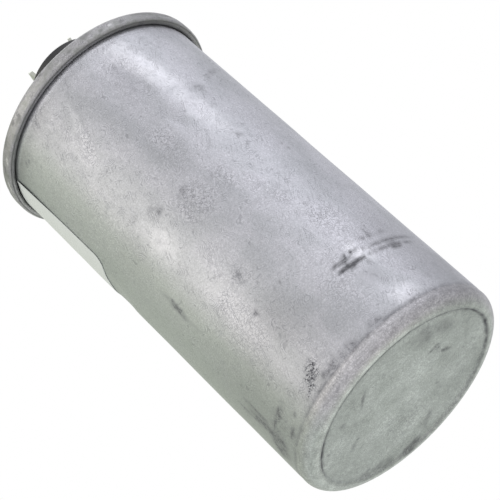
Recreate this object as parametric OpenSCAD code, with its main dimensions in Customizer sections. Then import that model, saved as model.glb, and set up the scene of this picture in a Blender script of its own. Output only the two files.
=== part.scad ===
// Single motor run capacitor: a round drawn aluminium can closed by a double-seamed cover,
// with a black moulded insulator and two double-tab terminals on top and a film winding inside.
// The origin is the centre of the ring that the can stands on. +Z runs up to the terminals,
// and the two terminals lie along Y, the front one at -Y.

/* [Can] */
// Outer radius of the can wall
can_r = 25.4; // [24.9:0.1:27]
// Wall thickness of the can
can_t = 0.5; // [0.4:0.05:0.6]
// Height from the standing ring to the top of the seam
rim_top = 99.8; // [80:0.1:150]
// Outer radius of the corner between wall and base
corner_r = 2.8; // [2.2:0.1:3.5]
// Height of the base panel above the standing ring
base_recess = 0.4; // [0.2:0.05:0.8]
// Flat width of the standing ring
ring_w = 0.3; // [0.2:0.1:1]

/* [Double seam] */
// Thickness of the cover sheet
cover_t = 0.6; // [0.5:0.05:0.65]
// Height of the seam
seam_h = 3.5; // [3.4:0.1:4.4]
// Gap between neighbouring layers of the seam
seam_gap = 0.05; // [0.03:0.01:0.08]
// Bend radius at the top of the seam, to the middle of the sheet
seam_top_r = 0.85; // [0.7:0.05:0.9]
// How far the two hooks overlap
hook_overlap = 1.0; // [0.7:0.1:1.1]
// How far the can's wall is pressed in behind the seam
pressure_ridge = 0.1; // [0.05:0.01:0.15]

/* [Cover] */
// Depth of the cover's panel below the top of the seam
panel_depth = 3.4; // [3:0.1:3.8]
// Depth of the groove round the panel
groove_depth = 1.5; // [0.8:0.1:1.5]
// Distance between the two terminals
terminal_pitch = 19; // [18.9:0.1:20]

/* [Insulator] */
// Outer radius of the cup round each terminal
cup_r = 9.4; // [9.2:0.1:9.8]
// Height of the cup's edge above the top of the seam
cup_top = 7.7; // [6:0.1:9]
// Depth of the cup
cup_depth = 3.5; // [2.5:0.1:4]
// Wall thickness of the cup
cup_wall = 1.3; // [1:0.1:1.5]

/* [Terminals] */
// Width of a tab
tab_w = 6.35; // [4.8:0.05:6.35]
// Thickness of the terminal's sheet
tab_t = 0.8; // [0.5:0.1:0.8]
// Height of the tabs' tips above the top of the seam
tab_top = 14.0; // [12.5:0.1:16]
// Half the distance between a terminal's two tips
tip_reach = 5.9; // [5.6:0.1:6.2]
// Outward lean of the front terminal's left tab, in degrees
lean_left = 5; // [0:1:12]
// Outward lean of the front terminal's right tab, in degrees
lean_right = 11; // [0:1:12]
// Outward lean of both tabs of the back terminal, in degrees
lean_back = 8; // [0:1:12]

/* [Label] */
// Thickness of the label
label_t = 0.12; // [0.08:0.01:0.2]
// Height of the label's lower edge
label_low = 63.4; // [40:0.2:75]
// Angle round the can where the label's left edge stands
label_start = 30; // [0:1:60]
// Angle that the label covers
label_wrap = 170; // [120:1:175]
// Radius of the label's corners
label_corner = 4.5; // [2:0.5:8]
// How far the label leans, in degrees
label_lean = 1.5; // [0:0.5:4]

/* [Hidden] */
$fn = 96;
bend_steps = 8;
cut = 1;                                     // overrun of a cutting solid past the face it opens
FRONT = -1;                                  // side of the can, along Y
BACK = 1;

// Double seam, from the can wall outwards: cover hook, body hook, seaming wall.
body_hook_bend = (2 * seam_gap + cover_t + can_t) / 2;
wall_mid_r = can_r - can_t / 2;
pressed_mid_r = wall_mid_r - pressure_ridge;
ridge_run = 0.6;                             // height over which the wall comes in
body_hook_mid_r = pressed_mid_r + 2 * body_hook_bend;
cover_hook_mid_r = pressed_mid_r + body_hook_bend;
cover_hook_bend = body_hook_bend;
seam_wall_mid_r = cover_hook_mid_r + 2 * cover_hook_bend;
chuck_mid_r = pressed_mid_r - body_hook_bend;
seam_bottom = rim_top - seam_h;
body_hook_z = rim_top - cover_t - seam_gap - can_t / 2 - body_hook_bend;
cover_hook_z = seam_bottom + cover_t / 2 + cover_hook_bend;
body_hook_end = cover_hook_z + seam_gap;
cover_hook_end = body_hook_end + hook_overlap;
seam_top_z = rim_top - cover_t / 2 - seam_top_r;

// Base of the can and panel of the cover.
step_bend = 0.6;
groove_bend = 0.8;
groove_flat = 0.6;
floor_z = base_recess + can_t;
panel_top = rim_top - panel_depth;
panel_under = panel_top - cover_t;
panel_mid = panel_top - cover_t / 2;
groove_under = panel_under - groove_depth;
spigot_r = 3.9;
fit_gap = 0.1;
cover_hole_r = spigot_r + fit_gap;

// Stack through each terminal, from the top down.
terminal_y = terminal_pitch / 2;
cup_edge_z = rim_top + cup_top;
cup_floor_z = cup_edge_z - cup_depth;
edge_round = 0.4;
cup_floor_t = 2;
post_r = 6.5;
gasket_t = 0.6;
gasket_r = 6.2;
web_w = 11;
web_top = cup_floor_z - 1;
spigot_len = 1.4;
inner_insulator_r = 21;
inner_insulator_t = 1.6;
barrier_len = 30;
barrier_t = 1.2;
barrier_h = 3;
inner_under = panel_under - inner_insulator_t;
washer_r = 5;
washer_t = 0.8;
washer_under = inner_under - washer_t;
lug_t = 0.5;
lug_r = 3.4;
lug_w = 4;
lug_under = washer_under - lug_t;
rivet_r = 2;
rivet_hole_r = rivet_r + fit_gap;
rivet_head_r = 2.9;
rivet_head_h = 0.9;
rivet_tail_r = 3;
rivet_tail_h = 0.8;

// Terminal sheet.
tab_bend = 1;
tip_z = rim_top + tab_top;
tab_chamfer = 1.8;
tip_t = 0.3;
tip_taper = 1.5;                             // length over which a tab thins to its tip
tab_hole_r = 0.9;
tab_hole_drop = 3.6;

// Winding and the pieces round it.
core_r = 4.5;
core_bore_r = 3;
winding_r = 23.4;
wrap_t = 0.5;
spray_t = 0.6;
cup_disc_t = 1.5;
rib_h = 1.8;
rib_w = 1.6;
rib_count = 8;
rib_in = 7;
rib_out = 21;
winding_bottom = floor_z + cup_disc_t + rib_h;
spacer_foot_z = 86.2 + (rim_top - 99.8);    // the winding grows with the can
winding_top = spacer_foot_z;
spacer_disc_lift = 0.8;
spacer_disc_t = 1.4;
spacer_in = 22.6;
spacer_out = 24.3;
core_boss_r = 2.9;
core_boss_h = 3;
tray_in = 23.95;
tray_out = 24.45;
tray_disc_r = 21;
tray_wall_z = floor_z + 1.3;
tray_top = 9;

// Leads.
lead_w = 4;
lead_t = 0.3;
lead_foot_in = 10;
lug_reach = 17.5;
lug_drop = 4;
top_lead_y = lug_reach - lug_t;
side_lead_y = 24.13;
side_lead_turn = spacer_foot_z + 3.8;
lead_top = washer_under - 0.5;
notch = 1.1;
notch_z = spacer_foot_z + 4.9;
sleeve_w = 4.9;
sleeve_in = 23.93;
sleeve_out = 24.63;
sleeve_slack = 0.02;
sleeve_low = 10;
sleeve_high = spacer_foot_z - 1.2;
lead_slot_w = 6;

// Points of a bent sheet's middle line: [x, z, normal x, normal z], round centre c from angle a0 to a1.
function bend(c, r, a0, a1) =
    [for (i = [0 : bend_steps])
        let (a = a0 + (a1 - a0) * i / bend_steps, s = a1 > a0 ? -1 : 1)
        [c.x + r * cos(a), c.y + r * sin(a), s * cos(a), s * sin(a)]];

// Two opposite bends of radius r that lower a sheet by drop and end level at x_end.
function step_down(x_end, z_high, drop, r) =
    let (a = acos(1 - drop / (2 * r)))
    concat(bend([x_end - 2 * r * sin(a), z_high - r], r, 90, 90 - a),
           bend([x_end, z_high - drop + r], r, 270 - a, 270));

// One face of a sheet, at a distance from its middle line.
function face(path, distance) = [for (p = path) [p[0] + p[2] * distance, p[1] + p[3] * distance]];

function reversed(list) = [for (i = [len(list) - 1 : -1 : 0]) list[i]];

// Closed outline of a sheet of thickness t along a middle line.
function sheet(path, t) = concat(face(path, t / 2), reversed(face(path, -t / 2)));

body_hook_path = bend([pressed_mid_r + body_hook_bend, body_hook_z], body_hook_bend, 180, 0);

seam_top_path = concat(bend([chuck_mid_r + seam_top_r, seam_top_z], seam_top_r, 180, 90),
                       bend([seam_wall_mid_r - seam_top_r, seam_top_z], seam_top_r, 90, 0));

can_path = concat(
    [[0, base_recess + can_t / 2, 0, 1]],
    step_down(can_r - corner_r - ring_w, base_recess + can_t / 2, base_recess, step_bend),
    bend([can_r - corner_r, corner_r], corner_r - can_t / 2, 270, 360),
    [[wall_mid_r, seam_bottom, -1, 0], [pressed_mid_r, seam_bottom + ridge_run, -1, 0]],
    body_hook_path,
    [[body_hook_mid_r, body_hook_end, 1, 0]]);

cover_path = concat(
    [[0, panel_mid, 0, 1]],
    step_down(chuck_mid_r - groove_bend - groove_flat, panel_mid, groove_depth, groove_bend),
    bend([chuck_mid_r - groove_bend, panel_mid - groove_depth + groove_bend], groove_bend, 270, 360),
    seam_top_path,
    bend([cover_hook_mid_r + cover_hook_bend, cover_hook_z], cover_hook_bend, 0, -180),
    [[cover_hook_mid_r, cover_hook_end, -1, 0]]);

module at_terminal(side) {
    translate([0, side * terminal_y, 0]) children();
}

module ring(outer, inner, z0, z1) {
    rotate_extrude() translate([inner, z0]) square([outer - inner, z1 - z0]);
}

// A flat strip across X, between two Y and two Z values, on the front or the back side.
module strip(side, w, y0, y1, z0, z1) {
    scale_y = side > 0 ? 0 : 1;
    mirror([0, scale_y, 0]) translate([-w / 2, y0, z0]) cube([w, y1 - y0, z1 - z0]);
}

// Drawn can: recessed base panel, standing ring, corner, wall and the hook that the seam holds.
module can() {
    color("silver")
    rotate_extrude() polygon(sheet(can_path, can_t));
}

// Cover: panel with a groove round it, chuck wall, seaming wall and cover hook, two terminal holes.
module cover() {
    color("silver")
    difference() {
        rotate_extrude() polygon(sheet(cover_path, cover_t));
        for (side = [FRONT, BACK])
            at_terminal(side) translate([0, 0, panel_under - cut])
                cylinder(r = cover_hole_r, h = cover_t + 2 * cut);
    }
}

// Sealing compound between the top of the body hook and the inside of the seam.
module seam_compound() {
    color("dimgray")
    rotate_extrude()
        polygon(concat(face(seam_top_path, -cover_t / 2), reversed(face(body_hook_path, can_t / 2))));
}

// One corner of a label as the piece to cut away, seen from outside at the label's edge.
module label_corner_cut() {
    difference() {
        translate([0, -cut, -cut]) cube([2 * can_r, label_corner + cut, label_corner + cut]);
        translate([-cut, label_corner, label_corner]) rotate([0, 90, 0])
            cylinder(r = label_corner, h = 2 * can_r + 2 * cut);
    }
}

// Everything beyond one upright edge of the label, with the lower corner's rounding.
module label_edge_cut() {
    translate([0, -can_r, -rim_top]) cube([2 * can_r, can_r, 2 * rim_top]);
    label_corner_cut();
}

// Bare label wrapped round the upper part of the can and up under the seam.
module label() {
    label_high = seam_bottom - 0.4;
    mid = label_start + label_wrap / 2;
    color("lightgray")
    difference() {
        ring(can_r + label_t, can_r, label_low, label_high);
        for (side = [-1, 1])
            rotate([0, 0, mid + side * label_wrap / 2]) translate([0, 0, label_low])
                rotate([side * label_lean, 0, 0]) mirror([0, side > 0 ? 1 : 0, 0]) label_edge_cut();
        rotate([0, 0, mid + 180]) translate([0, -can_r / 2, 0]) cube([2 * can_r, can_r, rim_top]);
    }
}

// Half outline of one cup, with a rounded upper edge.
module cup_body() {
    edge = bend([cup_r - edge_round, cup_edge_z - edge_round], edge_round, 90, 0);
    rotate_extrude()
        polygon(concat([[0, panel_top], [cup_r, panel_top]],
                       reversed(face(edge, 0)),
                       [[0, cup_edge_z]]));
}

// Black moulded insulator: two cups joined by a web, cored from below, each with a post and a spigot.
module terminal_insulator() {
    core_top = cup_floor_z - cup_floor_t;
    color("#252527")
    difference() {
        union() {
            for (side = [FRONT, BACK]) at_terminal(side) cup_body();
            translate([-web_w / 2, -terminal_y, panel_top])
                cube([web_w, terminal_pitch, web_top - panel_top]);
            for (side = [FRONT, BACK])
                at_terminal(side) translate([0, 0, panel_top - spigot_len])
                    cylinder(r = spigot_r, h = spigot_len + cut);
        }
        for (side = [FRONT, BACK])
            at_terminal(side) {
                translate([0, 0, cup_floor_z]) cylinder(r = cup_r - cup_wall, h = cup_depth + cut);
                ring(cup_r - cup_wall, post_r, panel_top - cut, core_top);
                ring(post_r, spigot_r, panel_top - cut, panel_top + gasket_t);
                translate([0, 0, panel_top - spigot_len - cut])
                    cylinder(r = rivet_hole_r, h = cup_edge_z - panel_top + spigot_len);
            }
    }
}

// Plate under the cover that keeps the washers and lugs off the metal.
module inner_insulator() {
    color("ivory")
    difference() {
        union() {
            translate([0, 0, inner_under]) cylinder(r = inner_insulator_r, h = inner_insulator_t);
            translate([-barrier_len / 2, -barrier_t / 2, inner_under - barrier_h])
                cube([barrier_len, barrier_t, barrier_h + cut]);
        }
        for (side = [FRONT, BACK])
            at_terminal(side) {
                translate([0, 0, panel_top - spigot_len]) cylinder(r = cover_hole_r, h = spigot_len + cut);
                translate([0, 0, inner_under - cut])
                    cylinder(r = rivet_hole_r, h = inner_insulator_t + 2 * cut);
            }
    }
}

// Rubber ring squeezed between a post of the insulator and the cover.
module gasket(side) {
    color("#3a3a3a")
    at_terminal(side) ring(gasket_r, cover_hole_r, panel_top, panel_top + gasket_t);
}

// Rivet through one whole stack, with a domed head above and a formed tail below.
module rivet(side) {
    head_z = cup_floor_z + tab_t;
    color("gainsboro")
    at_terminal(side) rotate_extrude()
        polygon([[0, lug_under - rivet_tail_h],
                 [rivet_tail_r - 0.4, lug_under - rivet_tail_h],
                 [rivet_tail_r, lug_under - 0.4],
                 [rivet_tail_r, lug_under],
                 [rivet_r, lug_under],
                 [rivet_r, head_z],
                 [rivet_head_r, head_z],
                 [rivet_head_r, head_z + rivet_head_h / 3],
                 [rivet_head_r * 0.8, head_z + rivet_head_h * 0.8],
                 [rivet_head_r * 0.4, head_z + rivet_head_h],
                 [0, head_z + rivet_head_h]]);
}

module washer(side) {
    color("gainsboro")
    at_terminal(side) ring(washer_r, rivet_hole_r, washer_under, inner_under);
}

// Eye under the washer with a tail that reaches out and turns down to its lead.
module lug(side) {
    reach = lug_reach - terminal_y;
    color("goldenrod")
    difference() {
        union() {
            at_terminal(side) translate([0, 0, lug_under]) cylinder(r = lug_r, h = lug_t);
            strip(side, lug_w, terminal_y, lug_reach, lug_under, washer_under);
            strip(side, lug_w, lug_reach - lug_t, lug_reach, lug_under - lug_drop, washer_under);
        }
        at_terminal(side) translate([0, 0, lug_under - cut]) cylinder(r = rivet_hole_r, h = lug_t + 2 * cut);
    }
}

// Distances along a tab that leans outwards by an angle.
function tab_rise(lean) = tip_z - (cup_floor_z + tab_t / 2 + tab_bend) + tab_bend * sin(lean);
function tab_length(lean) = tab_rise(lean) / cos(lean);
function bend_x(lean) = tip_reach - tab_length(lean) * sin(lean) - tab_bend * cos(lean);

// Point of a tab's middle line, at a distance below its tip, on the side dir.
function tab_point(dir, lean, below) =
    [dir * (tip_reach - below * sin(lean)), tip_z - below * cos(lean), -dir * cos(lean), sin(lean)];

// Middle line of the folded terminal, seen from the front, from the left tip to the right tip.
function terminal_path(left, right) =
    let (z = cup_floor_z + tab_t / 2 + tab_bend)
    concat([tab_point(-1, left, 0), tab_point(-1, left, tip_taper)],
           bend([-bend_x(left), z], tab_bend, 180 + left, 270),
           bend([bend_x(right), z], tab_bend, 270, 360 - right),
           [tab_point(1, right, tip_taper), tab_point(1, right, 0)]);

// One face of the terminal, on the side dir of its middle line: both ends are coined thin.
function terminal_face(path, dir) =
    [for (i = [0 : len(path) - 1])
        let (end = i == 0 || i == len(path) - 1, distance = dir * (end ? tip_t : tab_t) / 2)
        [path[i][0] + path[i][2] * distance, path[i][1] + path[i][3] * distance]];

// What is cut from one tab: the corners of its tip and its latch hole.
module tab_cuts(dir, lean) {
    corner = tab_chamfer * sqrt(2);
    translate([dir * tip_reach, 0, tip_z]) rotate([0, dir * lean, 0]) {
        for (edge = [-1, 1])
            translate([0, edge * tab_w / 2, 0]) rotate([45, 0, 0])
                cube([4 * tab_t, corner, corner], center = true);
        translate([-2 * tab_t, 0, -tab_hole_drop]) rotate([0, 90, 0])
            cylinder(r = tab_hole_r, h = 4 * tab_t);
    }
}

// Double tab folded from one strip of tinned brass.
module terminal(side, left, right) {
    path = terminal_path(left, right);
    color("lightgray")
    at_terminal(side)
        difference() {
            translate([0, tab_w / 2, 0]) rotate([90, 0, 0])
                linear_extrude(height = tab_w)
                    polygon(concat(terminal_face(path, 1), reversed(terminal_face(path, -1))));
            tab_cuts(-1, left);
            tab_cuts(1, right);
            translate([0, 0, cup_floor_z - cut]) cylinder(r = rivet_hole_r, h = tab_t + 2 * cut);
        }
}

// Short lead from the upper end of the winding to the front lug, with a waist that parts under pressure.
module top_lead() {
    color("tan")
    difference() {
        union() {
            strip(FRONT, lead_w, lead_foot_in, top_lead_y, winding_top, winding_top + lead_t);
            strip(FRONT, lead_w, top_lead_y - lead_t, top_lead_y, winding_top, lead_top);
        }
        for (edge = [-1, 1])
            translate([edge * lead_w / 2, -top_lead_y + lead_t / 2, winding_top + 1.8])
                rotate([0, 45, 0]) cube([notch, 4 * lead_t, notch], center = true);
    }
}

// Long lead from the lower end, up the side of the winding and in to the back lug.
module bottom_lead() {
    side_out = side_lead_y + lead_t;
    color("tan")
    difference() {
        union() {
            strip(BACK, lead_w, lead_foot_in, side_out, winding_bottom - lead_t, winding_bottom);
            strip(BACK, lead_w, side_lead_y, side_out, winding_bottom - lead_t, side_lead_turn + lead_t);
            strip(BACK, lead_w, lug_reach, side_out, side_lead_turn, side_lead_turn + lead_t);
            strip(BACK, lead_w, lug_reach, lug_reach + lead_t, side_lead_turn, lead_top);
        }
        for (edge = [-1, 1])
            translate([edge * lead_w / 2, lug_reach + 2, side_lead_turn + lead_t / 2])
                rotate([0, 0, 45]) cube([notch, notch, 4 * lead_t], center = true);
    }
}

// Flat insulating sleeve over the upright run of the long lead.
module lead_sleeve() {
    color("khaki")
    difference() {
        strip(BACK, sleeve_w, sleeve_in, sleeve_out, sleeve_low, sleeve_high);
        strip(BACK, lead_w + 2 * sleeve_slack, side_lead_y - sleeve_slack,
              side_lead_y + lead_t + sleeve_slack, sleeve_low - cut, sleeve_high + cut);
    }
}

// Moulded spacer that holds the winding down from the cover's groove.
module top_spacer() {
    disc_low = spacer_foot_z + spacer_disc_lift;
    color("whitesmoke")
    difference() {
        union() {
            ring(spacer_out, spacer_in, spacer_foot_z, groove_under);
            ring(spacer_in + cut, core_bore_r, disc_low, disc_low + spacer_disc_t);
        }
        strip(FRONT, lead_slot_w, top_lead_y - 3 * lead_t, top_lead_y + 2 * lead_t, disc_low - cut,
              disc_low + spacer_disc_t + cut);
        strip(BACK, lead_slot_w, spacer_in - cut / 2, can_r, spacer_foot_z - cut,
              side_lead_turn + 2 * lead_t);
    }
}

module end_spray(z) {
    color("slategray")
    ring(winding_r, core_r, z, z + spray_t);
}

// Metallised film wound round the core: its turns are one solid.
module film_winding() {
    color("lightsteelblue")
    ring(winding_r, core_r, winding_bottom + spray_t, winding_top - spray_t);
}

module outer_wrap() {
    color("wheat")
    ring(winding_r + wrap_t, winding_r, winding_bottom, winding_top);
}

module winding_core() {
    color("white")
    ring(core_r, core_bore_r, winding_bottom, winding_top);
}

// Moulded tray under the winding: ribs leave room for the oil and for the long lead.
module bottom_insulator() {
    disc_top = floor_z + cup_disc_t;
    color("whitesmoke")
    difference() {
        union() {
            rotate_extrude()
                polygon([[0, floor_z],
                         [tray_disc_r, floor_z],
                         [tray_out, tray_wall_z],
                         [tray_out, tray_top],
                         [tray_in, tray_top],
                         [tray_in, tray_wall_z + 1],
                         [tray_disc_r, disc_top],
                         [0, disc_top]]);
            translate([0, 0, disc_top]) cylinder(r = core_boss_r, h = rib_h + core_boss_h);
            for (i = [0 : rib_count - 1])
                rotate([0, 0, (i + 0.5) * 360 / rib_count])
                    translate([rib_in, -rib_w / 2, disc_top - cut / 2])
                        cube([rib_out - rib_in, rib_w, rib_h + cut / 2]);
        }
        strip(BACK, lead_slot_w, tray_in - cut / 2, can_r, winding_bottom - 2 * lead_t, tray_top + cut);
    }
}

can();
cover();
seam_compound();
label();
terminal_insulator();
inner_insulator();
gasket(FRONT);  // gasket_front
gasket(BACK);  // gasket_back
terminal(FRONT, lean_left, lean_right);  // terminal_front
terminal(BACK, lean_back, lean_back);  // terminal_back
rivet(FRONT);  // rivet_front
rivet(BACK);  // rivet_back
washer(FRONT);  // washer_front
washer(BACK);  // washer_back
lug(FRONT);  // lug_front
lug(BACK);  // lug_back
top_lead();
bottom_lead();
lead_sleeve();
top_spacer();
end_spray(winding_top - spray_t);  // end_spray_top
end_spray(winding_bottom);  // end_spray_bottom
film_winding();
outer_wrap();
winding_core();
bottom_insulator();
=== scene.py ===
"""Looks of the motor run capacitor: a turned aluminium can with its seam, label and terminals."""
import math
import bpy
import numpy as np
from mathutils import Matrix, Vector, noise


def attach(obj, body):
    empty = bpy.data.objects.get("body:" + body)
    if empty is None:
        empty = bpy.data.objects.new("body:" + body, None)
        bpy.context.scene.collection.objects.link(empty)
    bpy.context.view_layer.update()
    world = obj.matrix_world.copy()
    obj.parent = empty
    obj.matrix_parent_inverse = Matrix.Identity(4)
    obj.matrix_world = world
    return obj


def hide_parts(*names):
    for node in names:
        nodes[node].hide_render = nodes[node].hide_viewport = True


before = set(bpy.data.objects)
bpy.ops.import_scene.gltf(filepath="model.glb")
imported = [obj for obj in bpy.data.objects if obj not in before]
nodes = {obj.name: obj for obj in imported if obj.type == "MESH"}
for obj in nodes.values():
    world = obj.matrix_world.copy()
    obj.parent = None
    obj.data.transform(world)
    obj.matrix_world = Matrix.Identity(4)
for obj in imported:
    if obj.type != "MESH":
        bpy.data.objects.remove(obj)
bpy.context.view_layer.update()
MM = 0.001


# ---------------------------------------------------------------- node trees as sums

class Wire:
    """An output of a node; a sum on it adds the Math node that it stands for."""

    def __init__(self, bench, socket):
        self.bench = bench
        self.socket = socket

    def __add__(self, other):
        return self.bench.math("ADD", self, other)

    def __sub__(self, other):
        return self.bench.math("SUBTRACT", self, other)

    def __rsub__(self, other):
        return self.bench.math("SUBTRACT", other, self)

    def __mul__(self, other):
        return self.bench.math("MULTIPLY", self, other)

    def __truediv__(self, other):
        return self.bench.math("DIVIDE", self, other)

    __radd__ = __add__
    __rmul__ = __mul__


class Bench:
    """Builds one node tree, for a material, the world or a Geometry Nodes modifier."""

    def __init__(self, tree):
        self.tree = tree

    def node(self, kind, settings=None, values=None, out=0):
        """Adds a node: first its settings, then the values or links of its sockets."""
        added = self.tree.nodes.new(kind)
        for key, value in (settings or {}).items():
            setattr(added, key, value)
        for key, value in (values or {}).items():
            socket = added.inputs[key]
            if isinstance(value, Wire):
                self.tree.links.new(value.socket, socket)
            elif isinstance(value, tuple):
                socket.default_value = value[:len(socket.default_value)]
            else:
                socket.default_value = value
        return Wire(self, added.outputs[out])

    def end(self, kind, wire):
        """Adds the tree's output node, fed by a wire."""
        self.tree.links.new(wire.socket, self.tree.nodes.new(kind).inputs[0])

    def math(self, operation, *values, clamp=False):
        return self.node("ShaderNodeMath", {"operation": operation, "use_clamp": clamp},
                         dict(enumerate(values)))

    def vector(self, operation, *values, out="Vector"):
        return self.node("ShaderNodeVectorMath", {"operation": operation},
                         dict(enumerate(values)), out)

    def scaled(self, vector, amount):
        """A colour or a place times a number."""
        return self.node("ShaderNodeVectorMath", {"operation": "SCALE"}, {0: vector, "Scale": amount})

    def most(self, a, b):
        return self.math("MAXIMUM", a, b)

    def clip(self, value):
        return self.math("ADD", value, 0, clamp=True)

    def part(self, vector, axis):
        return self.node("ShaderNodeSeparateXYZ", None, {0: vector}, axis)

    def fade(self, value, start, end):
        """Runs smoothly from 0 at start to 1 at end."""
        return self.node("ShaderNodeMapRange", {"interpolation_type": "SMOOTHSTEP"},
                         {0: value, 1: start, 2: end})

    def mix(self, amount, a, b):
        """From colour a to colour b by an amount from 0 to 1."""
        return self.node("ShaderNodeMix", {"data_type": "RGBA"}, {0: amount, 6: a, 7: b}, 2)

    def grain(self, place, size, detail=2.0, rough=0.5, stretch=(1, 1, 1), shift=0.0, out="Fac"):
        """Noise from 0 to 1 with blotches of about size millimetres, longer along a stretched axis."""
        placed = self.node("ShaderNodeMapping", None,
                           {0: place, "Location": (shift, shift * 0.7, shift * 1.3),
                            "Scale": tuple(1 / (size * s) for s in stretch)})
        return self.node("ShaderNodeTexNoise", None,
                         {"Vector": placed, "Scale": 1.0, "Detail": detail, "Roughness": rough}, out)

    def bump(self, height, distance, strength=1.0):
        """Relief of a height from 0 to 1 over a distance in millimetres."""
        return self.node("ShaderNodeBump", None,
                         {"Height": height, "Distance": distance * MM, "Strength": strength})

    def kept(self, name):
        """A value that the mesh keeps for each vertex."""
        return self.node("ShaderNodeAttribute", {"attribute_name": name}, None, "Fac")

    def millimetres(self):
        """Places on the object, in millimetres."""
        return self.scaled(self.node("ShaderNodeTexCoord", out="Object"), 1 / MM)


def emptied(holder):
    """A bench on the cleared node tree of a material or a world."""
    holder.use_nodes = True
    holder.node_tree.nodes.clear()
    return Bench(holder.node_tree)


def paint(red, green, blue):
    """A colour from its usual 0 to 255 values."""
    shares = [((v / 255 + 0.055) / 1.055) ** 2.4 if v > 10 else v / 3295 for v in (red, green, blue)]
    return (*shares, 1.0)


def finish(name, plan):
    """A material whose sockets come from plan, a function that fills its tree."""
    material = bpy.data.materials.new(name)
    t = emptied(material)
    t.end("ShaderNodeOutputMaterial", t.node("ShaderNodeBsdfPrincipled", None, plan(t)))
    return material


# ---------------------------------------------------------------- marks on the metal
# On the wall: bearing from the front in degrees (plus to the right), height in mm, half length round
# the can and half width in mm, slant in degrees, strength.

SCUFFS = [(18.8, 17.0, 3.3, 0.45, 0, 1.0), (21.5, 16.9, 2.4, 0.3, 0, 0.9),
          (15.0, 19.0, 2.3, 0.4, 0, 0.65), (16.0, 19.4, 0.8, 0.25, 8, 0.8),
          (17.8, 18.4, 1.0, 0.4, 0, 0.6), (19.2, 19.5, 0.25, 0.2, 0, 0.7),
          (23.0, 19.4, 0.4, 0.28, 0, 0.8), (25.0, 19.3, 0.45, 0.4, 0, 0.7),
          (18.0, 16.2, 0.9, 0.3, 0, 0.45), (25.0, 15.9, 0.8, 0.25, 0, 0.5),
          (20.5, 16.0, 0.6, 0.25, 0, 0.4), (28.5, 17.0, 0.7, 0.25, 0, 0.4),
          (28.0, 19.0, 0.6, 0.3, 0, 0.4), (46.0, 18.8, 6.2, 0.3, 0, 0.45),
          (44.0, 18.9, 1.6, 0.4, 0, 0.45), (46.5, 17.0, 6.4, 0.34, 0, 0.55),
          (44.5, 16.8, 1.6, 0.7, 0, 0.6), (52.0, 16.9, 3.0, 0.4, 0, 0.5), (44.0, 17.8, 1.4, 1.0, 0, 0.3)]
SMUDGES = [(36.8, 22.0, 0.35, 1.4, -4, 0.75), (37.5, 21.3, 0.6, 0.6, 0, 0.8),
           (32.5, 21.0, 0.9, 0.35, 0, 0.6), (44.8, 21.2, 0.9, 0.6, 0, 0.6),
           (39.5, 23.3, 0.5, 0.2, 0, 0.45), (-53.5, 41.5, 0.7, 4.0, -6, 0.75),
           (-54.0, 36.0, 0.4, 3.0, 0, 0.3), (46.0, 51.3, 0.5, 0.35, 0, 0.95),
           (46.3, 49.5, 0.7, 0.3, 0, 0.6), (31.0, 57.3, 0.9, 0.5, 0, 0.5),
           (36.0, 73.6, 1.1, 0.5, 0, 0.5), (54.0, 78.0, 3.4, 0.6, 28, 0.45),
           (-8.5, 54.5, 0.9, 0.9, 0, 0.55), (-22.5, 55.7, 0.9, 0.7, 0, 0.5),
           (-11.5, 54.0, 1.2, 0.3, -30, 0.4), (-25.7, 24.1, 0.65, 0.6, 0, 0.75),
           (-9.0, 24.1, 0.3, 0.45, 0, 0.7), (-13.0, 24.2, 0.35, 0.25, 0, 0.5),
           (-19.0, 24.2, 1.0, 0.25, 0, 0.25), (-20.0, 32.0, 1.4, 0.7, 10, 0.3),
           (-70.5, 12.5, 0.9, 4.4, 0, 1.0), (-67.0, 15.0, 0.5, 3.6, 0, 0.8),
           (-73.0, 17.0, 0.4, 3.4, 0, 0.75), (-56.0, 9.7, 1.8, 0.45, 3, 0.95),
           (-75.0, 8.0, 3.5, 2.4, 12, 0.9), (-62.0, 10.0, 2.5, 0.6, 0, 0.8),
           (-54.5, 92.8, 0.9, 0.3, -30, 0.8), (-24.5, 4.4, 1.2, 0.8, 0, 0.8),
           (-18.5, 4.4, 1.3, 0.9, 0, 0.9), (-13.0, 4.4, 1.0, 0.9, 0, 0.9),
           (-8.0, 4.4, 1.4, 0.9, 0, 0.95), (4.0, 4.5, 1.3, 0.6, 0, 0.6), (8.0, 4.4, 0.9, 0.6, 0, 0.9),
           (-58.0, 5.0, 1.6, 0.6, 0, 1.0), (-49.5, 6.3, 1.0, 0.4, -20, 0.8),
           (-47.5, 3.3, 0.6, 0.2, 0, 0.8), (21.0, 13.0, 2.4, 2.0, 0, 0.22),
           (44.0, 7.3, 0.5, 0.4, 0, 0.4), (56.5, 4.9, 0.6, 0.25, 15, 0.5),
           (16.2, 14.8, 0.25, 0.5, 0, 0.35), (3.0, 10.5, 0.25, 0.25, 0, 0.7),
           (-25.0, 17.0, 0.25, 0.25, 0, 0.5), (-6.5, 21.0, 0.25, 0.2, 0, 0.6),
           (120.0, 40.0, 1.4, 4.0, 6, 0.5), (150.0, 12.0, 3.4, 0.8, -8, 0.6),
           (-140.0, 22.0, 2.5, 1.1, 24, 0.5), (-165.0, 52.0, 1.0, 3.5, 10, 0.4),
           (100.0, 25.0, 1.6, 1.2, 0, 0.4)]
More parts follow.
